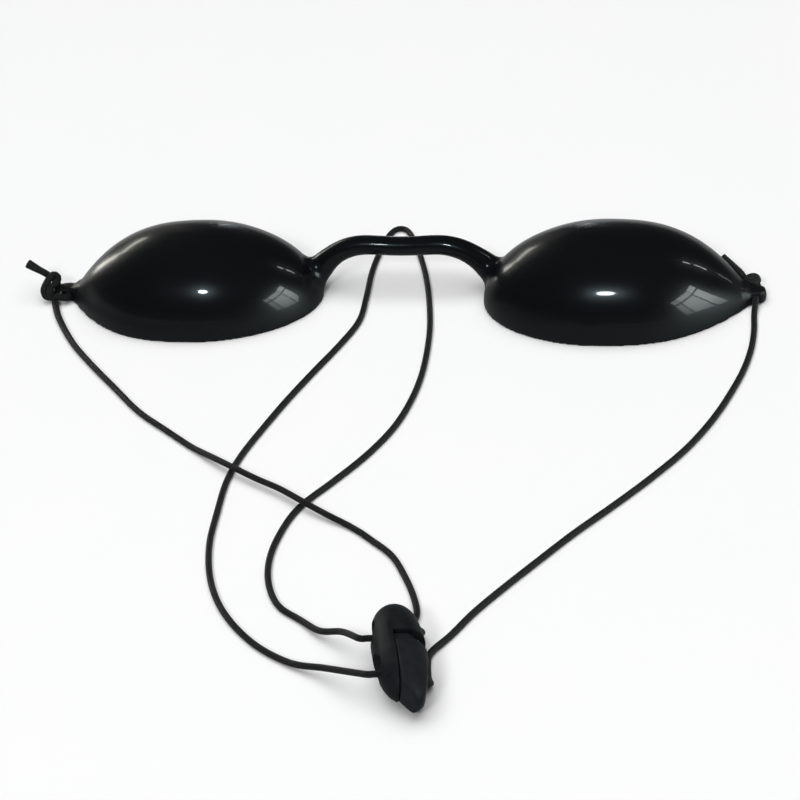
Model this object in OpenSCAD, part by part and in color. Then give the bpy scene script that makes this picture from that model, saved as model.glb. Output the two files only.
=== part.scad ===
// Laser patient goggles: two opaque eye cups on a springy nose bridge, with an elastic
// cord knotted to both outer ends and a squeeze lock that sets the cord's length.
// Millimetres. X runs from ear to ear, Y points to the forehead and Z away from the face.
// The cups' rims lie in the plane z = 0 and the middle of the nose is at x = 0.

/* [Eye cups] */
// Length of one cup, from its inner end to its outer tip
cup_length = 59.5; // [54:0.5:66]
// Half the width of a cup, which is also its depth
cup_radius = 17.5; // [15:0.5:20]
// Thickness of the cup's wall
cup_wall = 1.6; // [1.2:0.1:2.2]
// Distance from the outer tip to where the cup is widest
cup_widest = 34.5; // [30:0.5:40]
// Solid length at the outer tip, in front of the eye hollow
tip_solid = 5; // [4:0.5:7]
// Gap between the two cups, over the nose
nose_gap = 36.5; // [32:0.5:40]
// How full the outline swells from the outer tip: higher is fuller
outer_fullness = 2.9; // [2:0.1:3.2]
// How full the outline rounds to the inner end: higher is fuller
inner_fullness = 1.7; // [1.5:0.1:2.4]

/* [Cord lugs] */
// How far a lug stands out beyond the cup's tip
lug_reach = 1.9; // [1.8:0.1:3]
// Width of a lug
lug_width = 3.4; // [3:0.1:4.4]
// Height of a lug above the rim
lug_height = 3.2; // [3:0.1:4]
// Bore of a lug for the cord
lug_bore = 1.9; // [1.6:0.1:2.2]

/* [Nose bridge] */
// Thickness of the bridge over the nose
bridge_thickness = 4.3; // [3.4:0.1:5.2]
// Thickness of the bridge where it grows out of a cup
bridge_root = 6.6; // [5.6:0.1:7.2]
// Height of the bridge's centre line at its crest
bridge_crest = 10.7; // [9.5:0.1:12.5]
// Height of the bridge's centre line where it leaves the cup
bridge_foot = 4.2; // [4:0.1:5]
// How far the bridge stands to the forehead side of the cups' middle
bridge_forward = 5; // [4:0.1:6]

/* [Elastic cord] */
// Thickness of the cord
cord_d = 1.3; // [1:0.1:1.4]
// Size of a knot
knot_d = 4.2; // [3.8:0.1:4.4]

/* [Cord lock] */
// Length of the lock's body
lock_length = 23; // [22:0.5:26]
// Width of the closed lock, along the cords
lock_width = 10; // [9.8:0.1:11]
// Height of the lock between its flats
lock_height = 9; // [8.6:0.1:9.4]
// Wall of the lock's hood
lock_wall = 1.1; // [0.9:0.1:1.3]
// Distance between the two cord holes
hole_spacing = 9.7; // [9.4:0.1:10]
// How far the pair of holes sits from the body's middle towards the hood
hole_shift = 0.7; // [0.4:0.1:0.8]
// Bore of the cord holes
hole_d = 4.3; // [4.2:0.1:4.5]
// How far the plunger travels when it is squeezed
press_travel = 2.8; // [2.4:0.1:2.8]
// Place of the hood's lip, from the middle of the body
lip_place = 1.6; // [1.2:0.1:2]
// How far the seam beside the plunger is from the middle, away from the plunger
seam_shift = 1.4; // [1:0.1:1.6]
// Running clearance round the plunger
slide_clearance = 0.15; // [0.1:0.05:0.2]
// Diameter of the stop peg between the holes
peg_d = 1.6; // [1.2:0.1:1.7]
// Outer diameter of the spring
spring_d = 2.6; // [2.2:0.1:2.7]
// Thickness of the spring's wire
spring_wire = 0.25; // [0.2:0.05:0.3]
// Turns of the spring
spring_turns = 3; // [2:1:4]

/* [Where the lock lies] */
// Place of the lock to the right of the nose
lock_x = 22.5; // [20:0.5:25]
// Place of the lock on the chin side of the cups
lock_y = -119; // [-125:0.5:-115]
// Turn of the lock on the table
lock_turn = 18; // [14:1:22]
// Lean of the lock, its left side up
lock_lean = 12; // [0:1:14]

/* [Hidden] */
black = [0.05, 0.05, 0.06];
soft_black = [0.11, 0.11, 0.12];
steel = [0.7, 0.7, 0.72];
far = 100;
eps = 0.02;
round_sides = 96;

// The cup's outline
profile_steps = 22;
cup_outer_end = nose_gap / 2 + cup_length;
cup_middle = cup_outer_end - cup_widest;
cup_inner_length = cup_length - cup_widest;

// Lugs
lug_end = cup_outer_end + lug_reach;
lug_wall = 1.2;
bore_x = lug_end - lug_wall - lug_bore / 2;
bore_z = lug_height / 2;
// Where a cord that leaves the bore is clear of the lug's side
lug_side = lug_width / 2 + 0.9;

// The bridge's centre line from the middle to the root: share of the way out, share of the
// forward distance, share of the rise, share of the change in thickness
BRIDGE_SHARES = [
    [0, 1.06, 0.95, 0], [0.15, 1.06, 0.96, 0], [0.3, 1.05, 1, 0.02], [0.48, 1.04, 1, 0.06],
    [0.66, 1, 0.85, 0.12], [0.81, 0.96, 0.56, 0.25], [0.92, 0.92, 0.25, 0.6],
    [1, 0.86, 0, 1], [1.1, 0.78, -0.14, 0.9]];
bridge_reach = nose_gap / 2 + 2;
bridge_sides = 16;
bridge_steps = 3;

// Cord routes over the table, chosen point by point
cord_r = cord_d / 2;
over = cord_r + cord_d + 0.1;
LEFT_ROUTE = [
    [-80, -4.2, cord_r], [-78.2, -8.2, cord_r], [-75.1, -13.4, cord_r], [-70.5, -20, cord_r], [-64, -27.5, cord_r],
    [-57, -35, cord_r], [-49, -43.5, cord_r], [-41.5, -49.5, cord_r], [-34.5, -55, cord_r],
    [-28.5, -59.5, over - 0.5], [-23.5, -63, over], [-17.5, -66.5, over - 0.2],
    [-12, -69.5, over - 0.1], [-7, -73, over], [-1, -76.5, over - 0.6],
    [5, -79.5, cord_r], [10, -83.5, cord_r], [14.5, -87.5, cord_r], [17.9, -93, cord_r],
    [20.7, -98.6, cord_r], [22.6, -104.2, 0.8]];
RIGHT_ROUTE = [
    [77.4, -6, cord_r], [77.8, -12, cord_r], [77.7, -18.5, cord_r], [76.8, -25.5, cord_r],
    [75, -33, cord_r],
    [72, -42.5, cord_r], [67.5, -52.5, cord_r], [61.5, -62, cord_r], [55, -71, cord_r],
    [48.5, -79.5, cord_r], [43, -87.5, cord_r], [37.8, -95.2, cord_r], [33, -102.8, cord_r],
    [29.5, -109.8, cord_r]];
LOOP_ROUTE = [
    [10.4, -112.9, 3.9], [5.3, -110.5, 1.7], [0.5, -106.5, cord_r], [-4.5, -103, cord_r],
    [-8, -96.5, cord_r], [-9.5, -89, cord_r], [-9, -81, cord_r], [-7, -73.5, cord_r],
    [-2, -65.5, cord_r], [3, -57, cord_r], [7, -47.5, cord_r], [9, -37.5, cord_r],
    [9.5, -27, cord_r], [8.5, -14, cord_r], [6.5, -3, cord_r], [4, 7, cord_r],
    [1, 16, cord_r], [-1.5, 22, cord_r], [-4, 26.8, cord_r], [-6, 27.8, cord_r],
    [-7.6, 26, cord_r], [-8.6, 19.5, cord_r], [-9, 10, cord_r], [-8.3, 0, cord_r],
    [-8, -9.5, cord_r], [-10.5, -18.5, cord_r], [-14, -28, cord_r], [-17.5, -38, cord_r],
    [-20.5, -48, cord_r], [-23, -57.5, cord_r], [-24, -66, cord_r], [-23.5, -75.5, cord_r],
    [-22.5, -86, cord_r], [-19.5, -96.5, cord_r], [-14.5, -105.5, cord_r],
    [-7, -113.4, cord_r], [1.3, -118.6, 1], [8.8, -121.6, 2.9]];

// The lock
lock_r = lock_width / 2;
lock_half = lock_length / 2;
lock_roundness = 2.6;
// The plunger's outline from above, as shares of the lock's half width and half length
PLUNGER_SHARES = [
    [-0.6, 1.1], [1.2, 1.1], [1.08, 0.6], [1.03, 0.35], [0.97, 0.08], [0.87, -0.26],
    [0.74, -0.6], [0.62, -0.81], [0.49, -0.94], [0.34, -0.995], [0.2, -0.96], [0.06, -0.9],
    [-0.1, -0.83], [-0.3, -0.75], [-0.6, -0.64]];
// The cut that takes the corner off under the plunger's end: a place on it, as shares of the
// same lengths, and the turns that face a plane that way
corner_cut = [-0.34, -0.63, -0.4];
corner_turns = [0, 128, 213];
flat_angle = acos(lock_height / lock_width);
lock_z = lock_r * cos(max(0, flat_angle - lock_lean));
inner_r = lock_r - lock_wall;
inner_half = lock_half - lock_wall;
inner_height = lock_height - 2 * lock_wall;
mouth_d = hole_d + 1.4;
mouth_depth = 1.3;
far_hole = hole_shift + hole_spacing / 2;
near_hole = hole_shift - hole_spacing / 2;
far_cord = far_hole - press_travel / 2;
near_cord = near_hole - press_travel / 2;
seam = -seam_shift;
spring_x = seam + slide_clearance + spring_d / 2 + 0.15;
spring_seat = lock_half - 2.3;
pocket_floor = far_hole - press_travel + hole_d / 2 + 0.4;
spring_bore = spring_d + 0.3;
peg_y = hole_shift - press_travel / 2;
peg_height = 1;
lip_height = lip_place - slide_clearance;

function unit(v) = v / norm(v);
function heading(p, i) = unit(p[min(i + 1, len(p) - 1)] - p[max(i - 1, 0)]);

// One ring of points square to the route
function ring(p, i, r, sides, ref) =
    let (t = heading(p, i), a = unit(cross(t, ref)), b = cross(a, t))
    [for (k = [0:sides - 1]) p[i] + r * (a * cos(360 * k / sides) + b * sin(360 * k / sides))];

// A closed tube along the route from its point first to its point last
module sweep(p, radii, sides, ref, first, last) {
    count = last - first + 1;
    rings = [for (i = [first:last]) each ring(p, i, radii[i], sides, ref)];
    sides_a = [for (i = [0:count - 2], k = [0:sides - 1])
        [i * sides + k, i * sides + (k + 1) % sides, (i + 1) * sides + (k + 1) % sides]];
    sides_b = [for (i = [0:count - 2], k = [0:sides - 1])
        [i * sides + k, (i + 1) * sides + (k + 1) % sides, (i + 1) * sides + k]];
    near_cap = [for (k = [1:sides - 2]) [0, k + 1, k]];
    end = (count - 1) * sides;
    far_cap = [for (k = [1:sides - 2]) [end, end + k, end + k + 1]];
    polyhedron(rings, concat(near_cap, sides_a, sides_b, far_cap));
}

// A tube of the cord along a route
module cord(p) {
    sweep(p, [for (q = p) cord_r], 8, [0, 0, 1], 0, len(p) - 1);
}

// A round rod from one point to another
module rod(from, to, d) {
    v = to - from;
    translate(from) rotate([0, acos(v[2] / norm(v)), atan2(v[1], v[0])])
        cylinder(d = d, h = norm(v), $fn = 24);
}

// A smooth curve through points
function through(a, b, c, d, t) =
    0.5 * (2 * b + (c - a) * t + (2 * a - 5 * b + 4 * c - d) * t * t
        + (3 * b - a - 3 * c + d) * t * t * t);
function smooth(p, steps) = concat(
    [for (i = [0:len(p) - 2], k = [0:steps - 1])
        through(p[max(i - 1, 0)], p[i], p[i + 1], p[min(i + 2, len(p) - 1)], k / steps)],
    [p[len(p) - 1]]);

// The bridge's points as [x, y, z, radius], from the left root to the right one
function bridge_point(s, side) = [
    side * s[0] * bridge_reach,
    s[1] * bridge_forward,
    bridge_foot + s[2] * (bridge_crest - bridge_foot),
    (bridge_thickness + s[3] * (bridge_root - bridge_thickness)) / 2];
bridge_count = len(BRIDGE_SHARES);
bridge_hand = concat(
    [for (i = [bridge_count - 1:-1:1]) bridge_point(BRIDGE_SHARES[i], -1)],
    [for (s = BRIDGE_SHARES) bridge_point(s, 1)]);
bridge_fine = smooth(bridge_hand, bridge_steps);
bridge_line = [for (q = bridge_fine) [q[0], q[1], q[2]]];
bridge_radii = [for (q = bridge_fine) q[3]];
bridge_last = len(bridge_fine) - 1;
// The bridge ends and the cup's root begins at this many rings from either end
root_rings = 3 * bridge_steps;

// Half of the cup's outline, as distances from the axis and along it
function cup_outline(radius, outer_length, inner_length) = concat(
    [for (i = [0:profile_steps]) let (u = 1 - i / profile_steps)
        [radius * (1 - pow(u, outer_fullness)), outer_length * u]],
    [for (i = [1:profile_steps]) let (a = 90 * i / profile_steps)
        [radius * cos(a), -inner_length * pow(sin(a), 2 / inner_fullness)]]);

module cup_form(radius, outer_length, inner_length) {
    translate([cup_middle, 0, 0]) rotate([0, 90, 0])
        rotate_extrude($fn = round_sides)
            polygon(cup_outline(radius, outer_length, inner_length));
}

module eye_hollow() {
    cup_form(cup_radius - cup_wall, cup_widest - tip_solid, cup_inner_length - cup_wall);
}

module above_rim() {
    translate([-far, -far, 0]) cube([2 * far, 2 * far, far]);
}

module lug() {
    translate([cup_outer_end - tip_solid, -lug_width / 2, 0])
        cube([tip_solid + lug_reach - lug_width / 2, lug_width, lug_height]);
    translate([lug_end - lug_width / 2, 0, 0])
        cylinder(d = lug_width, h = lug_height, $fn = 48);
}

module lug_hole() {
    translate([bore_x, 0, bore_z]) rotate([90, 0, 0])
        cylinder(d = lug_bore, h = 2 * lug_width, center = true, $fn = 48);
}

module right_cup_form() {
    difference() {
        union() {
            intersection() {
                cup_form(cup_radius, cup_widest, cup_inner_length);
                above_rim();
            }
            lug();
            sweep(bridge_line, bridge_radii, bridge_sides, [0, 1, 0],
                bridge_last - root_rings, bridge_last);
        }
        eye_hollow();
        lug_hole();
    }
}

module right_cup() {
    color(black) right_cup_form();
}

module left_cup() {
    color(black) mirror([1, 0, 0]) right_cup_form();
}

module nose_bridge() {
    color(black) sweep(bridge_line, bridge_radii, bridge_sides, [0, 1, 0],
        root_rings, bridge_last - root_rings);
}

// Round rods joined in a chain
module chain(p) {
    for (i = [0:len(p) - 2]) rod(p[i], p[i + 1], cord_d);
    for (i = [1:len(p) - 2]) translate(p[i]) sphere(d = 1.1 * cord_d, $fn = 24);
}

// A knot: the cord goes through the lug's bore and is tied beside it, with a lobe on top
// from which the cut tail stands out, its end a little frayed
module knot(bead, lobe, tail_end) {
    translate(bead) sphere(d = knot_d, $fn = 32);
    translate(lobe) sphere(d = 2 * cord_d, $fn = 32);
    chain([bead, lobe, tail_end]);
    translate(tail_end) sphere(d = 1.5 * cord_d, $fn = 32);
}

// The left knot is tied beyond the lug's end, with the cord going round both sides of it, and
// the strand leaves from the knot itself
left_bead = [-lug_end - 2.55, -0.5, 2.7];
left_lobe = [-lug_end - 1.2, 1.2, 5];
left_tail_end = [-lug_end - 10.1, 6.6, 4.7];
left_way = unit([1.2, -1.4, -1.6]);
left_start = left_bead + 2.5 * left_way;

module left_knot() {
    color(soft_black) {
        knot(left_bead, left_lobe, left_tail_end);
        chain([left_bead, [-lug_end + 0.3, lug_side + 0.4, 2.2], [-bore_x, lug_side, bore_z],
            [-bore_x, -lug_side, bore_z], [-lug_end + 0.3, -lug_side - 0.4, 2.2], left_bead]);
        rod(left_bead, left_start, cord_d);
    }
}

// The right knot is tied behind the lug
right_bead = [bore_x - 1, lug_width / 2 + 2.8, 2.8];
right_lobe = [bore_x - 1.2, lug_width / 2 + 2.3, 3.6];
right_tail_end = [bore_x - 7.9, 10.5, 3.8];

module right_knot() {
    color(soft_black) {
        knot(right_bead, right_lobe, right_tail_end);
        chain([[bore_x, -lug_width / 2 - 0.2, bore_z], [bore_x, lug_side, bore_z], right_bead]);
    }
}

// From the lock's own frame to the table
function lock_to_table(p) =
    let (x = p[0] * cos(lock_lean) + p[2] * sin(lock_lean),
        z = p[2] * cos(lock_lean) - p[0] * sin(lock_lean))
    [lock_x + x * cos(lock_turn) - p[1] * sin(lock_turn),
        lock_y + x * sin(lock_turn) + p[1] * cos(lock_turn), lock_z + z];

cord_out = lock_r + 0.6;

module left_strand() {
    color(soft_black) cord(concat(
        [left_start, left_start + 0.4 * left_way],
        LEFT_ROUTE,
        [for (q = [[4.2, 12.2, -3.4], [4.6, 9.8, -2.6], [5.2, 7.4, -1.5],
            [4.7, 5.8, -0.5], [3.2, far_cord, 0], [-cord_out, far_cord, 0]])
            lock_to_table(q)]));
}

module right_strand() {
    color(soft_black) cord(concat(
        [[bore_x, -lug_width / 2 - 0.2, bore_z], [bore_x, -lug_width / 2 - 1.4, bore_z]],
        RIGHT_ROUTE,
        [for (q = [[6.2, 3.2, -2.9], [5.4, -0.4, -3.1], [5.1, -3.3, -3.15], [5.15, -5, -2.8],
            [5.05, -6.1, -2], [4.6, -6.4, -1.3], [4, -6.1, -0.6], [3.1, near_cord, 0],
            [-cord_out, near_cord, 0]])
            lock_to_table(q)]));
}

module cord_loop() {
    color(soft_black) cord(concat(
        [lock_to_table([-cord_out, far_cord, 0]), lock_to_table([-cord_out - 1.2, far_cord, 0])],
        LOOP_ROUTE,
        [lock_to_table([-cord_out - 1.2, near_cord, 0]), lock_to_table([-cord_out, near_cord, 0])]));
}

module place_lock() {
    translate([lock_x, lock_y, lock_z]) rotate([0, 0, lock_turn]) rotate([0, lock_lean, 0])
        children();
}

// The lock's rounded form about its long axis Y, with a flat on its top and bottom
module pebble(r, half, height) {
    intersection() {
        rotate([-90, 0, 0]) rotate_extrude($fn = round_sides)
            polygon([for (a = [-90:6:90])
                [r * pow(cos(a), 2 / lock_roundness),
                    sign(a) * half * pow(abs(sin(a)), 2 / lock_roundness)]]);
        cube([far, far, height], center = true);
    }
}

module cord_holes() {
    for (place = [near_hole, far_hole]) translate([0, place, 0]) rotate([0, 90, 0]) {
        cylinder(d = hole_d, h = far, center = true, $fn = 48);
        for (end = [0, 180]) rotate([end, 0, 0]) translate([0, 0, lock_r - mouth_depth])
            cylinder(d1 = hole_d, d2 = mouth_d, h = mouth_depth, $fn = 48);
    }
}

// The part of space beyond a place
module beyond(x, y, z = -far / 2) {
    translate([x, y, z]) cube([far, far, far]);
}

module lock_body() {
    color(black) place_lock() {
        difference() {
            intersection() {
                pebble(lock_r, lock_half, lock_height);
                union() {
                    beyond(seam - far, -far / 2);
                    beyond(seam - 1, lip_place);
                }
            }
            intersection() {
                pebble(inner_r, inner_half, inner_height);
                beyond(seam, lip_place - 1);
            }
            cord_holes();
            translate([spring_x, 0, 0]) rotate([-90, 0, 0])
                cylinder(d = spring_bore, h = spring_seat, $fn = 32);
        }
        translate([seam - eps, peg_y, 0]) rotate([0, 90, 0])
            cylinder(d = peg_d, h = peg_height + eps, $fn = 32);
    }
}

module lock_plunger() {
    color(black) place_lock() translate([0, -press_travel, 0]) difference() {
        intersection() {
            union() {
                difference() {
                    pebble(lock_r, lock_half, lock_height);
                    beyond(-far / 2, lip_height);
                }
                pebble(inner_r - slide_clearance, inner_half - slide_clearance,
                    inner_height - 2 * slide_clearance);
            }
            beyond(seam + slide_clearance, -far / 2);
            linear_extrude(far, center = true)
                polygon([for (q = smooth(PLUNGER_SHARES, 3)) [lock_r * q[0], lock_half * q[1]]]);
        }
        cord_holes();
        translate([spring_x, press_travel + pocket_floor, 0]) rotate([-90, 0, 0])
            cylinder(d = spring_bore, h = far, $fn = 32);
        for (place = [peg_y, peg_y + press_travel])
            translate([seam - eps, place, 0]) rotate([0, 90, 0])
            cylinder(d = peg_d + 0.2, h = peg_height + slide_clearance + eps, $fn = 32);
        translate([seam - eps, peg_y, -peg_d / 2 - 0.1])
            cube([peg_height + slide_clearance + eps, press_travel, peg_d + 0.2]);
        translate([lock_r * corner_cut[0], lock_half * corner_cut[1], lock_r * corner_cut[2]])
            rotate(corner_turns) beyond(-far / 2, -far / 2, 0);
    }
}

module lock_spring() {
    wire_r = spring_wire / 2;
    coil_r = (spring_d - spring_wire) / 2;
    rise = spring_seat - pocket_floor - spring_wire - 0.1;
    coil = [for (i = [0:12 * spring_turns]) let (a = 30 * i)
        [spring_x + coil_r * cos(a), pocket_floor + 0.05 + wire_r + rise * i / (12 * spring_turns),
            coil_r * sin(a)]];
    color(steel) place_lock()
        sweep(coil, [for (q = coil) wire_r], 6, [0, 1, 0], 0, len(coil) - 1);
}

left_cup();
nose_bridge();
right_cup();
left_knot();
right_knot();
left_strand();
right_strand();
cord_loop();
lock_body();
lock_plunger();
lock_spring();
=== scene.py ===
from contextlib import contextmanager
from math import cos, pi, radians, sin, tan

import bmesh
import bpy
import numpy as np
from mathutils import Matrix, Vector


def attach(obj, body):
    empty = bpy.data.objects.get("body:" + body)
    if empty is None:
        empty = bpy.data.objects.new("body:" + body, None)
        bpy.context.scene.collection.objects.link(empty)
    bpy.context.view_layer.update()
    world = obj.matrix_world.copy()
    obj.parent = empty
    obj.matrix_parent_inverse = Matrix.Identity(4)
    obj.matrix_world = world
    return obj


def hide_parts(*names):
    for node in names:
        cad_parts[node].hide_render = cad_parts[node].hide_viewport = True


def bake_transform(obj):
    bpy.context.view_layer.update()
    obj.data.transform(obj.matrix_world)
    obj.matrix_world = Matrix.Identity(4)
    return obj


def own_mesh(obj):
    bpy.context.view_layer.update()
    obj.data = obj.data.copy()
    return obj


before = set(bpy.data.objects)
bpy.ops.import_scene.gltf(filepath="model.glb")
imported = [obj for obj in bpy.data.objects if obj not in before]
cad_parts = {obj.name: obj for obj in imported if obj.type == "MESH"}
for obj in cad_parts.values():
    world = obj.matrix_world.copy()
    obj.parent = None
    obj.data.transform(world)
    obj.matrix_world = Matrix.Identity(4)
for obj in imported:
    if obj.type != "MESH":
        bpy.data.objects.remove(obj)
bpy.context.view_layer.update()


# Camera
# The goggles lie on a table top and are looked at from the chin side, above and a little to
# the right, with a long lens, as for a catalogue picture.
camera_place = Vector((0.11977, -0.43276, 0.29900))
camera_turn = radians(16)
camera_elevation = radians(36)
camera_roll = radians(-8.747)

camera_data = bpy.data.cameras.new("camera")
camera_data.sensor_width = 36
camera_data.lens = 109.8
camera_data.clip_start = 0.02
camera_data.clip_end = 30
camera = bpy.data.objects.new("camera", camera_data)
bpy.context.scene.collection.objects.link(camera)
camera.matrix_world = (
    Matrix.Translation(camera_place)
    @ Matrix.Rotation(camera_turn, 4, "Z")
    @ Matrix.Rotation(pi / 2 - camera_elevation, 4, "X")
    @ Matrix.Rotation(camera_roll, 4, "Z")
)
bpy.context.scene.camera = camera
bpy.context.scene.view_settings.view_transform = "Standard"


# Elastic cord
# One round elastic cord with a braided polyester cover, 1.3 mm thick, in three stretches:
# from each cup's lug to the lock, and the headband loop that hangs out of the lock's holes.
mm = 0.001
cord_r = 0.65
cord_over = 2.05

lock_x, lock_y, lock_z = 22.5, -119, 4.855
lock_turn = radians(18)
lock_lean = radians(12)
far_cord, near_cord, cord_out = 4.15, -5.55, 5.6


def lock_to_table(x, y, z):
    """A point of the lock's own frame on the table, in millimetres."""
    along = x * cos(lock_lean) + z * sin(lock_lean)
    height = z * cos(lock_lean) - x * sin(lock_lean)
    return [
        lock_x + along * cos(lock_turn) - y * sin(lock_turn),
        lock_y + along * sin(lock_turn) + y * cos(lock_turn),
        lock_z + height,
    ]


def length_along(line):
    """How far along the line each of its points is."""
    steps = np.linalg.norm(np.diff(line, axis=0), axis=1)
    return np.concatenate([[0], np.cumsum(steps)])


def even_steps(line, gap):
    """The same line with its points at equal steps of about gap."""
    places = length_along(line)
    count = max(int(round(places[-1] / gap)), 2)
    wanted = np.linspace(0, places[-1], count + 1)
    return np.stack([np.interp(wanted, places, line[:, i]) for i in range(line.shape[1])], 1)


held_end, held_fade = 14, 12


def smooth_line(points, gap, passes, free_passes=0):
    """A smooth line at even steps through given points, never below the table.

    The free passes even it out more where it lies free, away from its held ends."""
    p = np.array(points, float)
    p = np.vstack([2 * p[0] - p[1], p, 2 * p[-1] - p[-2]])
    t = np.linspace(0, 1, 40, endpoint=False)[:, None]
    spans = [
        0.5 * (2 * b + (c - a) * t + (2 * a - 5 * b + 4 * c - d) * t**2
               + (3 * b - a - 3 * c + d) * t**3)
        for a, b, c, d in zip(p, p[1:], p[2:], p[3:])
    ]
    line = even_steps(np.vstack(spans + [p[-2:-1]]), gap)
    for _ in range(passes):
        line[1:-1] = (line[:-2] + 2 * line[1:-1] + line[2:]) / 4
    place = np.arange(len(line)) * gap
    free = np.clip((np.minimum(place, place[::-1]) - held_end) / held_fade, 0, 1)[1:-1, None]
    for _ in range(free_passes):
        line[1:-1] += free / 2 * ((line[:-2] + line[2:]) / 2 - line[1:-1])
    line = even_steps(line, gap)
    line[:, 2] = np.maximum(line[:, 2], cord_r)
    return line


def rings_along(line, first_side):
    """Two unit directions square to the line at each point, carried along without twist."""
    heading = np.gradient(line, axis=0)
    heading /= np.linalg.norm(heading, axis=1)[:, None]
    side = np.array(first_side, float)
    sides = []
    for h in heading:
        side = side - h * (side @ h)
        side /= np.linalg.norm(side)
        sides.append(side)
    sides = np.array(sides)
    return sides, np.cross(heading, sides)


def circled(side, other, angle):
    """Unit directions out of a line's points at each angle round it."""
    return (side[:, None, :] * np.cos(angle)[None, :, None]
            + other[:, None, :] * np.sin(angle)[None, :, None])


@contextmanager
def edited(mesh):
    """Opens a mesh for changes, and puts them into it at the end."""
    bm = bmesh.new()
    bm.from_mesh(mesh)
    yield bm
    bm.to_mesh(mesh)
    bm.free()


def rolled_tube(name, places, uv_scale=(1, 1)):
    """A flat grid rolled up into a closed tube: places[ring, side] are its points in metres."""
    ring_count, side_count = places.shape[:2]
    mesh = bpy.data.meshes.new(name)
    with edited(mesh) as bm:
        bm.loops.layers.uv.new("UVMap")
        bmesh.ops.create_grid(bm, x_segments=side_count, y_segments=ring_count - 1, size=1,
                              calc_uvs=True)
    flat = np.empty(len(mesh.vertices) * 3)
    mesh.vertices.foreach_get("co", flat)
    flat = flat.reshape(-1, 3)
    side = np.rint((flat[:, 0] + 1) / 2 * side_count).astype(int) % side_count
    ring = np.rint((flat[:, 1] + 1) / 2 * (ring_count - 1)).astype(int)
    mesh.vertices.foreach_set("co", places[ring, side].ravel())
    layer = mesh.uv_layers[0]
    uv = np.empty(len(layer.data) * 2)
    layer.data.foreach_get("uv", uv)
    layer.data.foreach_set("uv", (uv.reshape(-1, 2) * uv_scale).ravel())
    with edited(mesh) as bm:
        bmesh.ops.remove_doubles(bm, verts=bm.verts[:], dist=1e-7)
        bmesh.ops.holes_fill(bm, edges=[e for e in bm.edges if e.is_boundary], sides=0)
        bmesh.ops.recalc_face_normals(bm, faces=bm.faces[:])
    mesh.shade_smooth()
    return mesh


def dress(made, material):
    """Gives an object one material."""
    made.data.materials.clear()
    made.data.materials.append(material)


def piece(name, mesh, material=None):
    """An object at the origin for a finished mesh."""
    made = bpy.data.objects.new(name, mesh)
    bpy.context.scene.collection.objects.link(made)
    if material:
        dress(made, material)
    return made


braid_strands = 6
braid_sides = 36
braid_gap = 0.14
braid_depth = 0.11
braid_pitch = 2 * pi * cord_r / braid_strands


def braided_cord(name, line, radii=None):
    """A braided cord along a line in millimetres: strands pass over and under each other."""
    side, other = rings_along(line, np.cross(line[1] - line[0], [0.3, 0.2, 1]))
    along = length_along(line) / braid_pitch
    turn = np.arange(braid_sides) / braid_sides
    a = braid_strands * turn[None, :] + along[:, None]
    b = braid_strands * turn[None, :] - along[:, None]
    upper = (np.floor(a) + np.floor(b)) % 2 == 0
    across = np.where(upper, a % 1, b % 1)
    length = np.where(upper, b % 1, a % 1)
    swell = np.sqrt(np.sin(pi * across)) * (0.35 + 0.65 * np.sin(pi * length))
    r = cord_r * (1 - braid_depth * (1 - swell))
    if radii is not None:
        r = r * radii[:, None]
    places = line[:, None, :] + r[..., None] * circled(side, other, 2 * pi * turn)
    return rolled_tube(name, places * mm, uv_scale=(braid_strands, along[-1]))


def node(material, kind, **values):
    """A shader node with its sockets and settings given by name."""
    made = material.node_tree.nodes.new(kind)
    for key, value in values.items():
        if key in made.inputs:
            made.inputs[key].default_value = value
        else:
            setattr(made, key, value)
    return made


def new_material(name):
    """A new node material, its shader, and the call that links two sockets in it."""
    material = bpy.data.materials.new(name)
    material.use_nodes = True
    shader = material.node_tree.nodes["Principled BSDF"]
    return material, shader, material.node_tree.links.new


def noise(material, link, scale, detail):
    """Noise fixed to the object."""
    made = node(material, "ShaderNodeTexNoise", Scale=scale, Detail=detail)
    place = node(material, "ShaderNodeTexCoord")
    link(place.outputs["Object"], made.inputs["Vector"])
    return made.outputs[0]


def bumped(material, link, shader, height, strength, distance):
    """Raises the surface by a height socket."""
    bump = node(material, "ShaderNodeBump", Strength=strength, Distance=distance)
    link(height, bump.inputs["Height"])
    link(bump.outputs[0], shader.inputs["Normal"])
    return bump.outputs[0]


def calc(material, link, operation, first, second=0.0):
    """A Math node on sockets or numbers."""
    made = material.node_tree.nodes.new("ShaderNodeMath")
    made.operation = operation
    for socket, value in zip(made.inputs, (first, second)):
        if isinstance(value, (int, float)):
            socket.default_value = value
        else:
            link(value, socket)
    return made.outputs[0]


def ramp(material, link, source, *stops):
    """A colour ramp on a socket, its stops given as place and grey or colour."""
    made = material.node_tree.nodes.new("ShaderNodeValToRGB")
    link(source, made.inputs[0])
    elements = made.color_ramp.elements
    while len(elements) < len(stops):
        elements.new(0.5)
    for element, (place, colour) in zip(elements, stops):
        element.position = place
        element.color = (*colour, 1) if isinstance(colour, tuple) else (colour,) * 3 + (1,)
    return made.outputs[0]


strand_fibres = 7


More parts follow.
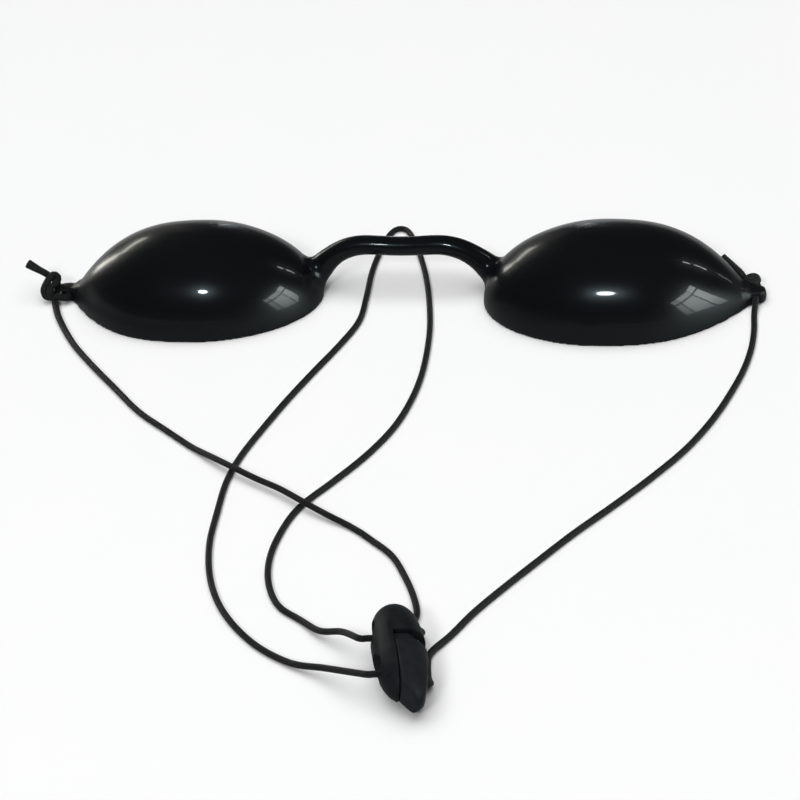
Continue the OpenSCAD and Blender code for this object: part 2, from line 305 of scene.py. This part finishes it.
def cord_material():
    """Dull black yarn: fine fibres along each strand, a little fuzz, slightly worn patches."""
    material, shader, link = new_material("braided_polyester")
    uv = node(material, "ShaderNodeUVMap")
    parts = node(material, "ShaderNodeSeparateXYZ")
    link(uv.outputs[0], parts.inputs[0])
    u, v = parts.outputs[0], parts.outputs[1]
    a = calc(material, link, "ADD", u, v)
    b = calc(material, link, "SUBTRACT", u, v)
    count = calc(material, link, "ADD", calc(material, link, "FLOOR", a),
                 calc(material, link, "FLOOR", b))
    odd = calc(material, link, "FLOORED_MODULO", count, 2.0)
    fa = calc(material, link, "FRACT", a)
    fb = calc(material, link, "FRACT", b)
    step = calc(material, link, "MULTIPLY", odd, calc(material, link, "SUBTRACT", fb, fa))
    across = calc(material, link, "ADD", fa, step)
    fibre = calc(material, link, "SINE",
                 calc(material, link, "MULTIPLY", across, 2 * pi * strand_fibres))
    fuzz = noise(material, link, 9000.0, 3.0)
    patches = noise(material, link, 160.0, 2.0)
    height = calc(material, link, "ADD", calc(material, link, "MULTIPLY", fibre, 0.5), fuzz)
    bumped(material, link, shader, height, 0.6, 0.00003)
    shade = calc(material, link, "ADD", calc(material, link, "MULTIPLY", fuzz, 0.6),
                 calc(material, link, "MULTIPLY", patches, 0.4))
    link(ramp(material, link, shade, (0.3, (0.0035, 0.0037, 0.0041)),
              (0.55, (0.0075, 0.0078, 0.0083)), (0.75, (0.018, 0.018, 0.018))),
         shader.inputs["Base Color"])
    shader.inputs["Roughness"].default_value = 0.62
    shader.inputs["Specular IOR Level"].default_value = 0.08
    shader.inputs["Sheen Weight"].default_value = 0.06
    shader.inputs["Sheen Roughness"].default_value = 0.4
    return material


braid = cord_material()

LEFT_ROUTE = [
    [-80, -4.2, cord_r], [-78.2, -8.2, cord_r], [-75.1, -13.4, cord_r], [-70.5, -20, cord_r],
    [-64, -27.5, cord_r], [-57, -35, cord_r], [-49, -43.5, cord_r], [-41.5, -49.5, cord_r],
    [-34.5, -55, cord_r], [-28.5, -59.5, cord_over - 0.5], [-23.5, -63, cord_over],
    [-17.5, -66.5, cord_over - 0.2], [-12, -69.5, cord_over - 0.1], [-7, -73, cord_over],
    [-1, -76.5, cord_over - 0.6], [5, -79.5, cord_r], [10, -83.5, cord_r], [14.5, -87.5, cord_r],
    [17.9, -93, cord_r], [20.7, -98.6, cord_r], [22.6, -104.2, 0.8],
]
RIGHT_ROUTE = [
    [77.4, -6, cord_r], [77.8, -12, cord_r], [77.7, -18.5, cord_r], [76.8, -25.5, cord_r],
    [75, -33, cord_r], [72, -42.5, cord_r], [67.5, -52.5, cord_r], [61.5, -62, cord_r],
    [55, -71, cord_r], [48.5, -79.5, cord_r], [43, -87.5, cord_r], [37.8, -95.2, cord_r],
    [33, -102.8, cord_r], [29.5, -109.8, cord_r],
]
LOOP_ROUTE = [
    [10.4, -112.9, 3.9], [5.3, -110.5, 1.7], [0.5, -106.5, cord_r], [-4.5, -103, cord_r],
    [-8, -96.5, cord_r], [-9.5, -89, cord_r], [-9, -81, cord_r], [-7, -73.5, cord_r],
    [-2, -65.5, cord_r], [3, -57, cord_r], [7, -47.5, cord_r], [9, -37.5, cord_r],
    [9.5, -27, cord_r], [8.5, -14, cord_r], [6.5, -3, cord_r], [4, 7, cord_r],
    [1, 16, cord_r], [-1.5, 22, cord_r], [-4, 26.8, cord_r], [-6, 27.8, cord_r],
    [-7.6, 26, cord_r], [-8.6, 19.5, cord_r], [-9, 10, cord_r], [-8.3, 0, cord_r],
    [-8, -9.5, cord_r], [-10.5, -18.5, cord_r], [-14, -28, cord_r], [-17.5, -38, cord_r],
    [-20.5, -48, cord_r], [-23, -57.5, cord_r], [-24, -66, cord_r], [-23.5, -75.5, cord_r],
    [-22.5, -86, cord_r], [-19.5, -96.5, cord_r], [-14.5, -105.5, cord_r],
    [-7, -113.4, cord_r], [1.3, -118.6, 1], [8.8, -121.6, 2.9],
]
lug_end = 79.65
bore_x = 77.5
bore_z = 1.6
lug_half = 1.7
left_bead = Vector((-lug_end - 2.55, -0.5, 2.7))
left_way = Vector((1.2, -1.4, -1.6)).normalized()
left_start = left_bead + 2.5 * left_way
cord_passes, cord_free_passes = 30, 180
path_step = 20

left_line = smooth_line(
    [left_start, left_start + 0.4 * left_way, *LEFT_ROUTE]
    + [lock_to_table(*p) for p in (
        (4.2, 12.2, -3.4), (4.6, 9.8, -2.6), (5.2, 7.4, -1.5), (4.7, 5.8, -0.5),
        (3.2, far_cord, 0), (-cord_out, far_cord, 0))],
    braid_gap, cord_passes, cord_free_passes)
right_line = smooth_line(
    [[bore_x, -lug_half - 0.2, bore_z], [bore_x, -lug_half - 1.4, bore_z], *RIGHT_ROUTE]
    + [lock_to_table(*p) for p in (
        (6.2, 3.2, -2.9), (5.4, -0.4, -3.1), (5.1, -3.3, -3.15), (5.15, -5, -2.8),
        (5.05, -6.1, -2), (4.6, -6.4, -1.3), (4, -6.1, -0.6), (3.1, near_cord, 0),
        (-cord_out, near_cord, 0))],
    braid_gap, cord_passes, cord_free_passes)
loop_line = smooth_line(
    [lock_to_table(-cord_out, far_cord, 0), lock_to_table(-cord_out - 1.2, far_cord, 0),
     *LOOP_ROUTE,
     lock_to_table(-cord_out - 1.2, near_cord, 0), lock_to_table(-cord_out, near_cord, 0)],
    braid_gap, cord_passes, cord_free_passes)


def declared_cord(line):
    """Picks out every twentieth point of the line and its last one; nothing further is done with
    them.
    """
    path = line[::path_step]
    if (len(line) - 1) % path_step:
        path = np.vstack([path, line[-1:]])


# The cover is fuller where the left strand lies slack near its knot
slack_swell, slack_length = 0.25, 22
slack = 1 + slack_swell * np.exp(-np.arange(len(left_line)) * braid_gap / slack_length)
lift = np.outer(slack - 1, [0, 0, cord_r])
left_strand = piece("left_cord", braided_cord("left_cord", left_line + lift, slack), braid)
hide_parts("left_strand")
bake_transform(left_strand)
declared_cord(left_line)

loop = piece("headband_loop", braided_cord("headband_loop", loop_line), braid)
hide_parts("cord_loop")
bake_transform(loop)
declared_cord(loop_line)

# The right strand is made in two pieces, split part way along it
split = int(np.argmin(np.linalg.norm(right_line - [61.5, -62, cord_r], axis=1)))
upper_line, lower_line = right_line[:split + 1], right_line[split:]
right_upper = piece("right_cord_upper", braided_cord("right_cord_upper", upper_line), braid)
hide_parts("right_strand")
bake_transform(right_upper)
declared_cord(upper_line)
right_lower = piece("right_cord_lower", braided_cord("right_cord_lower", lower_line), braid)
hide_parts("right_strand")
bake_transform(right_lower)
declared_cord(lower_line)


# Knots
# Each cord end goes through the bore of its cup's lug and is tied in a tight overhand knot,
# with a short tail whose cut end has frayed a little.
knot_gap, knot_passes = 0.1, 8
fray_length = 2.4

# The directions in which the points of both knots are given
knot_across = Vector((0.97472, 0.18651, -0.12303))
knot_up = Vector((-0.01396, 0.60037, 0.79961))
knot_out = Vector((0.22300, -0.77768, 0.58779))


def tied(centre, points):
    """Points of a knot in millimetres from its centre: across it, up it and out of it."""
    return [centre + x * knot_across + y * knot_up + z * knot_out for x, y, z in points]


def frayed(line, thick, ends):
    """Relative radii along a slack line whose first end is cut and frayed."""
    along = length_along(line)
    return thick + ends * np.exp(-((along / fray_length) ** 2)) * np.minimum(1, 0.8 + along)


left_knot_line = smooth_line(
    tied(left_bead, [
        (-4.94, 5.65, 0), (-2.82, 4.46, 0.1), (-0.77, 3.33, -0.5), (1.05, 2.03, -1.2),
        (1.85, 0.32, -1), (1.05, -1.5, -0.2), (-0.55, -1.96, 0.7), (-1.12, -0.36, 1),
        (-0.2, 1.69, 1), (0.93, 3.1, 0.4), (1.95, 2.48, 0), (1.7, 1.2, 0.9),
        (0.7, 0.3, 1.6), (0.4, -0.9, 1.7), (0.8, -2.2, 0.8)])
    + [(-lug_end + 0.2, -2.7, 1.8), (-bore_x, -2.5, bore_z), (-bore_x, 0, bore_z),
       (-bore_x, 2.5, 1.2), (-lug_end + 0.2, 2.7, 1.1), (-lug_end - 1.4, 1.2, 1.4)],
    knot_gap, knot_passes)
left_knot = piece("left_knot_cord",
                  braided_cord("left_knot_cord", left_knot_line,
                               frayed(left_knot_line, 1.25, 0.4)),
                  braid)
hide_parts("left_knot")
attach(left_knot, "shield")

right_bead = Vector((bore_x - 1, lug_half + 2.8, 2.8))
right_knot_line = smooth_line(
    [(bore_x - 7.7, 8.2, 5.7), (bore_x - 5.5, 6.5, 4.6), (bore_x - 3.5, 4.8, 3.5)]
    + tied(right_bead, [
        (-1.1, -1.37, -0.8), (0.17, -1.8, 0), (0.92, -0.5, 0.4), (0.17, 0.24, 0.6),
        (-1.1, -0.09, 0.7), (-1.4, -0.94, 1), (-0.5, -0.95, 1.4), (0.4, -1.2, 1.1),
        (0.7, -2, 0.2)])
    + [(bore_x, 3, 1.9), (bore_x, 1.9, bore_z), (bore_x, 0, bore_z),
       (bore_x, -lug_half - 0.4, bore_z)],
    knot_gap, knot_passes)
right_knot = piece("right_knot_cord",
                   braided_cord("right_knot_cord", right_knot_line,
                                frayed(right_knot_line, 1.2, 0)),
                   braid)
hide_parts("right_knot")
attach(right_knot, "right_eye")


# Floor and light
# A pale table top in a dim room: a soft ceiling light, one lamp towards the chin side, a
# window with six panes to the right, and a few weak lights behind that show in the gloss.
floor_half = 6
floor_clear = 0.00004


def floor_surface():
    """A flat square just below the goggles, too large for its edges to be seen."""
    mesh = bpy.data.meshes.new("floor")
    with edited(mesh) as bm:
        bmesh.ops.create_grid(bm, x_segments=1, y_segments=1, size=floor_half,
                              matrix=Matrix.Translation((0, 0, -floor_clear)))
    return mesh


def floor_material():
    """Matt off-white, with hardly any variation."""
    material, shader, link = new_material("table_top")
    grain = noise(material, link, 30.0, 4.0)
    link(ramp(material, link, grain, (0.3, (0.93, 0.93, 0.93)), (0.7, (0.92, 0.925, 0.93))),
         shader.inputs["Base Color"])
    shader.inputs["Roughness"].default_value = 0.8
    shader.inputs["Specular IOR Level"].default_value = 0
    return material


floor = piece("floor", floor_surface(), floor_material())

world = bpy.data.worlds.new("room")
world.use_nodes = True
world.node_tree.nodes["Background"].inputs["Color"].default_value = (0.10, 0.10, 0.098, 1)
world.node_tree.nodes["Background"].inputs["Strength"].default_value = 1
bpy.context.scene.world = world


def lamp(name, azimuth, elevation, distance, width, height, radiance, colour=(1, 1, 1),
         glossy=True, diffuse=True, shape="RECTANGLE", roll=0):
    """A flat lamp that faces the goggles; radiance 1 is as bright as white paper."""
    data = bpy.data.lights.new(name, "AREA")
    data.shape = shape
    data.size, data.size_y = width, height
    data.energy = radiance * pi * width * height
    data.color = colour
    made = bpy.data.objects.new(name, data)
    bpy.context.scene.collection.objects.link(made)
    a, e = radians(azimuth), radians(elevation)
    way = Vector((cos(e) * cos(a), cos(e) * sin(a), sin(e)))
    made.matrix_world = (Matrix.Translation(way * distance)
                         @ way.to_track_quat("Z", "Y").to_matrix().to_4x4()
                         @ Matrix.Rotation(radians(roll), 4, "Z"))
    made.visible_glossy = glossy
    made.visible_diffuse = diffuse
    made.visible_camera = False
    return made


lamp("ceiling", 0, 90, 2.6, 3.4, 3.4, 2.22, glossy=False)
lamp("fill_lamp", -99, 40, 2, 0.42, 0.26, 29, glossy=False, shape="ELLIPSE")
lamp("main_lamp", -96.5, 43, 6, 0.7, 0.56, 240, (0.84, 0.93, 1), diffuse=False,
     shape="ELLIPSE")
lamp("back_lamp", 101.4, 4, 6, 0.16, 0.2, 70, (0.9, 0.95, 1), diffuse=False)
for side, azimuth, elevation, height, radiance in (
        ("a", 28, 44, 0.18, 90), ("b", 28.7, 33.5, 0.32, 80), ("c", 32, 16.5, 0.3, 26)):
    lamp("tube_" + side, azimuth, elevation, 2, 0.045, height, radiance, diffuse=False)
lamp("pale_strip", 145, 9.5, 2.5, 0.3, 0.86, 32, (1, 0.97, 0.88), diffuse=False)
lamp("pale_shelf", 135, 22, 2.5, 0.72, 0.24, 30, (1, 0.97, 0.88), diffuse=False)
lamp("pale_wall", 120, 12, 2.5, 0.75, 1.2, 0.6, (1, 0.95, 0.87), diffuse=False)
window_azimuth, window_elevation, window_distance = -25, 12, 2.5
window_roll = 20
lean = radians(window_roll)
for column, across, width, radiance in ((0, -14.4, 6, 20), (1, -2, 15.8, 31), (2, 12.8, 9.6, 40)):
    for row, up, height in ((0, -4, 28), (1, 14.6, 5.6)):
        lamp(f"pane_{column}_{row}",
             window_azimuth + across * cos(lean) - up * sin(lean),
             window_elevation + across * sin(lean) + up * cos(lean),
             window_distance, 2 * window_distance * tan(radians(width / 2)),
             2 * window_distance * tan(radians(height / 2)), radiance,
             (0.95, 1, 0.97), diffuse=False, roll=window_roll)


# Shield
# Two opaque eye cups, the bridge over the nose and a lug at each outer end, moulded in one
# piece from glossy black plastic, with a thin bridge.
cup_radius, cup_wall = 17.5, 1.6
cup_tip, cup_widest, cup_inner, tip_solid = 77.75, 34.5, 25, 5
cup_middle = cup_tip - cup_widest
outer_fullness, inner_fullness = 2.9, 1.7
blend_at, blend_width = -2, 11
profile_points = 131
shield_grid = 0.36


def cup_profile(radius, outer, inner):
    """Half of the cup's outline from its outer tip to its inner end, along its axis and out.

    The outer and the inner part are different curves, evened out where they meet."""
    u = 1 - np.linspace(0, 1, 400)
    outer_part = np.stack([outer * u, radius * (1 - u**outer_fullness)], 1)
    a = np.linspace(0, pi / 2, 401)[1:]
    inner_part = np.stack([-inner * np.sin(a) ** (2 / inner_fullness), radius * np.cos(a)], 1)
    line = even_steps(np.vstack([outer_part, inner_part]), 0.2)
    ease = np.exp(-((line[:, 0] - blend_at) / blend_width) ** 4)
    for _ in range(500):
        middle = (line[:-2] + line[2:]) / 2
        line[1:-1] += 0.5 * ease[1:-1, None] * (middle - line[1:-1])
    line[-1, 1] = line[0, 1] = 0
    line[:, 1] *= radius / line[:, 1].max()
    wanted = np.linspace(0, 1, profile_points)
    own = np.linspace(0, 1, len(line))
    return np.stack([np.interp(wanted, own, line[:, i]) for i in range(2)], 1)


def half_dome(name, profile, drop=0, steps=110):
    """The outline turned half a turn above the rim plane, and closed underneath."""
    mesh = bpy.data.meshes.new(name)
    with edited(mesh) as bm:
        verts = [bm.verts.new(((cup_middle + x) * mm, r * mm, 0)) for x, r in profile]
        edges = [bm.edges.new(pair) for pair in zip(verts, verts[1:])]
        bmesh.ops.spin(bm, geom=verts + edges, cent=(0, 0, 0), axis=(1, 0, 0), angle=pi,
                       steps=steps)
        bmesh.ops.remove_doubles(bm, verts=bm.verts[:], dist=1e-6)
        rim = [e for e in bm.edges if e.is_boundary]
        if drop:
            lower = bmesh.ops.extrude_edge_only(bm, edges=rim)["geom"]
            bmesh.ops.translate(bm, vec=(0, 0, -drop * mm),
                                verts=[v for v in lower if isinstance(v, bmesh.types.BMVert)])
            rim = [e for e in bm.edges if e.is_boundary]
        bmesh.ops.holes_fill(bm, edges=rim, sides=0)
        bmesh.ops.recalc_face_normals(bm, faces=bm.faces[:])
    return mesh


outer_profile = cup_profile(cup_radius, cup_widest, cup_inner)
inner_profile = cup_profile(cup_radius - cup_wall, cup_widest - tip_solid, cup_inner - cup_wall)
dome_mesh = half_dome("dome", outer_profile)
hollow = piece("hollow", half_dome("hollow", inner_profile[::2], drop=2, steps=72))


def along_and_out(points):
    """Places in millimetres as distance along the cup's axis and from it."""
    return points[..., 0] - cup_middle, np.hypot(points[..., 1], points[..., 2])


def depth_outside(points):
    """How far points stand outside the cup's outer surface, or inside it below nought."""
    x, r = along_and_out(points)
    gaps = np.hypot(x[..., None] - outer_profile[:, 0], r[..., None] - outer_profile[:, 1])
    level = np.interp(x, outer_profile[::-1, 0], outer_profile[::-1, 1], left=-1, right=-1)
    return np.where(r < level, -1, 1) * gaps.min(axis=-1)


def flared(centres, normals, radii, fillet):
    """Tube points that widen into a fillet where the tube meets the cup."""
    places = centres[:, None, :] + radii[..., None] * normals
    near = np.clip(fillet - depth_outside(places), 0, 0.97 * fillet)
    wider = fillet - np.sqrt(fillet**2 - near**2)
    return places + wider[..., None] * normals


# Along half the bow: its reach, how far forward, how high, and how thick towards its root
BRIDGE_SHARES = [
    (0, 1.06, 0.95, 0), (0.15, 1.06, 0.96, 0), (0.3, 1.05, 1, 0.02), (0.48, 1.04, 1, 0.06),
    (0.66, 1, 0.85, 0.12), (0.81, 0.96, 0.56, 0.25), (0.92, 0.92, 0.25, 0.6), (1, 0.86, 0, 1),
    (1.1, 0.78, -0.14, 0.9)]
bridge_reach, bridge_forward, bridge_foot, bridge_crest = 20.25, 5, 4.2, 10.7
bridge_thickness, bridge_root = 4.3, 6.6
bridge_fillet, bridge_clear, bridge_sides = 1.5, 0.4, 48
bridge_points = [
    (side * s[0] * bridge_reach, s[1] * bridge_forward,
     bridge_foot + s[2] * (bridge_crest - bridge_foot),
     (bridge_thickness + s[3] * (bridge_root - bridge_thickness)) / 2)
    for side, shares in ((-1, BRIDGE_SHARES[2:0:-1]), (1, BRIDGE_SHARES)) for s in shares]
bridge_line = smooth_line(bridge_points, 0.2, 60)
bridge_centres = bridge_line[:, :3]
bridge_normals = circled(*rings_along(bridge_centres, (0, 0, 1)),
                         np.linspace(0, 2 * pi, bridge_sides, endpoint=False))
bridge_radii = np.repeat(bridge_line[:, 3:], bridge_sides, axis=1)
bridge_places = flared(bridge_centres, bridge_normals, bridge_radii, bridge_fillet)
bridge_places[..., 2] = np.maximum(bridge_places[..., 2], bridge_clear)
bridge_mesh = rolled_tube("bridge", bridge_places * mm)

lug_height, lug_bore, lug_root = 3.2, 1.9, 4.5
lug_fillet, lug_squareness = 1.2, 4.5
lug_x = np.append(np.arange(cup_tip - lug_root, lug_end - 0.02, 0.1), lug_end - 0.004)
lug_angle = np.linspace(0, 2 * pi, 64, endpoint=False)
in_round = np.maximum(lug_x - (lug_end - lug_half), 0)
half_width = np.sqrt(lug_half**2 - in_round**2)
half_height = lug_height / 2 * np.sqrt(np.clip(1 - (in_round / lug_half) ** 6, 0.02, 1))


def squared(wave):
    """A sine or cosine drawn out so that the circle they make becomes a rounded square."""
    return np.sign(wave) * abs(wave) ** (2 / lug_squareness)


offsets = np.stack([
    np.zeros((len(lug_x), len(lug_angle))),
    half_width[:, None] * squared(np.cos(lug_angle)),
    half_height[:, None] * squared(np.sin(lug_angle))], -1)
reach = np.maximum(np.linalg.norm(offsets, axis=-1), 1e-6)
lug_centres = np.stack([lug_x, 0 * lug_x, 0 * lug_x + lug_height / 2], 1)
lug_places = flared(lug_centres, offsets / reach[..., None], reach, lug_fillet)
lug_places[..., 2] = np.maximum(lug_places[..., 2], 0)
lug_mesh = rolled_tube("lug", lug_places * mm)

solid_mesh = bpy.data.meshes.new("shield")
with edited(solid_mesh) as bm:
    for mesh in (dome_mesh, bridge_mesh, lug_mesh):
        bm.from_mesh(mesh)


def bake(made):
    """Makes an object's modifiers part of its mesh."""
    bpy.context.view_layer.update()
    done = bpy.data.meshes.new_from_object(
        made.evaluated_get(bpy.context.evaluated_depsgraph_get()))
    made.modifiers.clear()
    made.data = done


def fine_grid(made, voxel):
    """One even skin round all of an object's solids, its step given in millimetres."""
    step = made.modifiers.new("fine_grid", "REMESH")
    step.mode = "VOXEL"
    step.voxel_size = voxel * mm
    bake(made)


def smoothed(bm, verts, passes):
    """Evens out vertices towards their neighbours."""
    for _ in range(passes):
        bmesh.ops.smooth_vert(bm, verts=verts, factor=0.5, use_axis_x=True, use_axis_y=True,
                              use_axis_z=True)


def cut_out(base, tool):
    """Cuts a tool shape out of the base, and removes the tool."""
    step = base.modifiers.new("cut", "BOOLEAN")
    step.operation = "DIFFERENCE"
    step.solver = "EXACT"
    step.object = tool
    bake(base)
    bpy.data.objects.remove(tool)


def eased_joints(bm):
    """Softens the fillets at the bridge and the lug; returns each vertex's gap to them."""
    places = np.array([v.co for v in bm.verts]) / mm
    depth = depth_outside(places)
    to_bridge = np.min([np.linalg.norm(places - c, axis=1) - r
                        for c, r in zip(bridge_centres[::3], bridge_line[::3, 3])], axis=0)
    to_lug = np.linalg.norm(
        np.maximum(np.abs(places - [cup_tip, 0, lug_height / 2])
                   - [3, lug_half, lug_height / 2], 0), axis=1)
    for gap, inside, outside, near, passes in ((to_bridge, -1, 2.6, 2.4, 12),
                                               (to_lug, -0.8, 0.5, 1, 4)):
        smoothed(bm, [v for v, d, g in zip(bm.verts, depth, gap)
                      if inside < d < outside and g < near], passes)
    return np.minimum(to_bridge, to_lug)


skin_depth, rim_height, rim_snap = 0.4, 0.25, 0.08
joint_clear, joint_fade = 1.8, 2


def trued_dome(bm, joint_gap):
    """Puts the dome's skin back on the outline, away from the joints, and its rim at nought."""
    places = np.array([v.co for v in bm.verts]) / mm
    x, r = along_and_out(places)
    nearest = np.argmin(np.hypot(x[:, None] - outer_profile[:, 0],
                                 r[:, None] - outer_profile[:, 1]), axis=1)
    slope = np.gradient(outer_profile, axis=0)
    slope /= np.linalg.norm(slope, axis=1)[:, None]
    out_x, out_r = slope[nearest, 1], -slope[nearest, 0]
    gap = (x - outer_profile[nearest, 0]) * out_x + (r - outer_profile[nearest, 1]) * out_r
    on_dome = (np.abs(gap) < skin_depth) & (places[:, 2] > rim_height)
    share = np.clip((joint_gap - joint_clear) / joint_fade, 0, 1) * on_dome
    move_r = -gap * out_r * share
    safe_r = np.maximum(r, 1e-6)
    places[:, 0] -= gap * out_x * share
    places[:, 1] += move_r * places[:, 1] / safe_r
    places[:, 2] += move_r * places[:, 2] / safe_r
    places[:, 2] = np.where(places[:, 2] < rim_snap, 0, places[:, 2])
    for v, place in zip(bm.verts, places):
        v.co = place * mm


shield = piece("shield", solid_mesh)
fine_grid(shield, shield_grid)
with edited(shield.data) as bm:
    smoothed(bm, bm.verts[:], 3)
    trued_dome(bm, eased_joints(bm))

bore_mesh = bpy.data.meshes.new("bore")
with edited(bore_mesh) as bm:
    bmesh.ops.create_cone(
        bm, cap_ends=True, segments=48, radius1=lug_bore / 2 * mm, radius2=lug_bore / 2 * mm,
        depth=12 * mm, matrix=(Matrix.Translation((bore_x * mm, 0, bore_z * mm))
                               @ Matrix.Rotation(pi / 2, 4, "X")))
cut_out(shield, hollow)
cut_out(shield, piece("bore", bore_mesh))

# The right half is worked out above, and the left one is its mirror image
with edited(shield.data) as bm:
    bmesh.ops.bisect_plane(bm, geom=bm.verts[:] + bm.edges[:] + bm.faces[:], dist=1e-7,
                           plane_co=(0, 0, 0), plane_no=(-1, 0, 0), clear_outer=True)
    bmesh.ops.mirror(bm, geom=bm.verts[:] + bm.edges[:] + bm.faces[:], axis="X",
                     merge_dist=1e-6)
    bmesh.ops.recalc_face_normals(bm, faces=bm.faces[:])
shield.data.shade_smooth()
shield.data.set_sharp_from_angle(angle=radians(40))


rim_shade_low, rim_shade_high = 0.002, 0.0085


def shield_material():
    """Deep black gloss with faint ripples, dust and a film; it fades to satin near the rim."""
    material, shader, link = new_material("gloss_black_plastic")
    ripple = noise(material, link, 90.0, 2.0)
    dust = noise(material, link, 2600.0, 4.0)
    film = noise(material, link, 70.0, 3.0)
    waves = bumped(material, link, shader, ripple, 0.25, 0.00012)
    link(waves, shader.inputs["Coat Normal"])
    specks = ramp(material, link, dust, (0.66, 0.0), (0.78, 1.0))
    colour = node(material, "ShaderNodeMix", data_type="RGBA")
    link(specks, colour.inputs[0])
    colour.inputs[6].default_value = (0.0034, 0.0040, 0.0046, 1)
    colour.inputs[7].default_value = (0.009, 0.0092, 0.0098, 1)
    link(colour.outputs[2], shader.inputs["Base Color"])
    link(ramp(material, link, film, (0.35, 0.03), (0.7, 0.08)),
         shader.inputs["Coat Roughness"])
    place = node(material, "ShaderNodeTexCoord")
    axes = node(material, "ShaderNodeSeparateXYZ")
    link(place.outputs["Object"], axes.inputs[0])
    for socket, at_rim, on_dome in (("Coat Weight", 0.0035, 0.026), ("Roughness", 0.5, 0.27),
                                    ("Specular IOR Level", 0.08, 0.04)):
        fade = node(material, "ShaderNodeMapRange", interpolation_type="SMOOTHSTEP")
        for name, value in (("From Min", rim_shade_low), ("From Max", rim_shade_high),
                            ("To Min", at_rim), ("To Max", on_dome)):
            fade.inputs[name].default_value = value
        link(axes.outputs[2], fade.inputs[0])
        link(fade.outputs[0], shader.inputs[socket])
    shader.inputs["Specular Tint"].default_value = (0.82, 0.95, 1, 1)
    shader.inputs["Coat IOR"].default_value = 2.5
    return material


dress(shield, shield_material())
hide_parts("left_cup", "nose_bridge", "right_cup")
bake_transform(shield)


# Cord lock
# A squeeze lock moulded in two parts of satin black nylon: a hollow rounded body with two
# cord holes, and the thumb plunger that slides in it on a small spring.
lock_grid, lock_passes = 0.14, 3


def soft_copy(name, source):
    """The solid's own form with the small round edges of a moulding."""
    made = piece(name, bpy.data.meshes.new(name))
    with edited(made.data) as bm:
        bm.from_mesh(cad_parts[source].data)
        bmesh.ops.remove_doubles(bm, verts=bm.verts[:], dist=1e-6)
    fine_grid(made, lock_grid)
    with edited(made.data) as bm:
        smoothed(bm, bm.verts[:], lock_passes)
        bmesh.ops.recalc_face_normals(bm, faces=bm.faces[:])
    made.data.shade_smooth()
    return made


def lock_material(name, low, high, roughness):
    """Satin nylon with a fine grain; worn places are a little paler and rougher."""
    material, shader, link = new_material(name)
    grain = noise(material, link, 5200.0, 3.0)
    wear = noise(material, link, 420.0, 3.0)
    bumped(material, link, shader, grain, 0.5, 0.00003)
    link(ramp(material, link, wear, (0.3, low), (0.7, high)), shader.inputs["Base Color"])
    link(ramp(material, link, wear, (0.3, roughness), (0.75, roughness + 0.12)),
         shader.inputs["Roughness"])
    shader.inputs["Specular IOR Level"].default_value = 0.012
    return material


body = soft_copy("lock_shell", "lock_body")
dress(body, lock_material("satin_nylon", (0.0076, 0.0090, 0.0103), (0.0126, 0.0144, 0.0158),
                          0.4))
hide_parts("lock_body")
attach(body, "cord_lock")

plunger = soft_copy("lock_button", "lock_plunger")
press_way = (-sin(lock_turn), cos(lock_turn), 0)
lock_along = Vector(press_way).dot(Vector((lock_x, lock_y, lock_z)))
with edited(plunger.data) as bm:
    # Its thumb end is rounded more softly, and most at the tip
    for tip, passes in ((-8, 8), (-9.2, 24)):
        smoothed(bm, [v for v in bm.verts
                      if Vector(press_way).dot(v.co) / mm - lock_along < tip], passes)
dress(plunger, lock_material("satin_nylon_button", (0.0118, 0.0138, 0.0157),
                             (0.0172, 0.0194, 0.0214), 0.38))
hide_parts("lock_plunger")
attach(plunger, "plunger")


# Spring
# A small coil of bright spring-steel wire in the lock's pocket, which pushes the plunger out
# and pinches the cords; it is hardly seen.
spring_d, spring_wire, spring_turns = 2.6, 0.25, 3
spring_x, spring_low, spring_high = 0.2, 5.475, 9.025
spring_sides = 12


def coil_mesh():
    """The wire as a tube round the coil's line."""
    turn = np.linspace(0, 2 * pi * spring_turns, 48 * spring_turns + 1)
    coil_r = (spring_d - spring_wire) / 2
    line = np.array([
        lock_to_table(spring_x + coil_r * cos(a),
                      spring_low + (spring_high - spring_low) * a / turn[-1], coil_r * sin(a))
        for a in turn])
    way = circled(*rings_along(line, (0, 0, 1)),
                  2 * pi * np.arange(spring_sides) / spring_sides)
    return rolled_tube("lock_coil", (line[:, None, :] + spring_wire / 2 * way) * mm)


def steel_material():
    material, shader, link = new_material("spring_steel")
    drawn = noise(material, link, 3000.0, 2.0)
    link(ramp(material, link, drawn, (0.3, (0.55, 0.55, 0.57)), (0.7, (0.72, 0.72, 0.74))),
         shader.inputs["Base Color"])
    link(ramp(material, link, drawn, (0.3, 0.22), (0.7, 0.4)), shader.inputs["Roughness"])
    shader.inputs["Metallic"].default_value = 1
    return material


spring = piece("lock_coil", coil_mesh(), steel_material())
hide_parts("lock_spring")
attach(spring, "cord_lock")
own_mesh(spring)
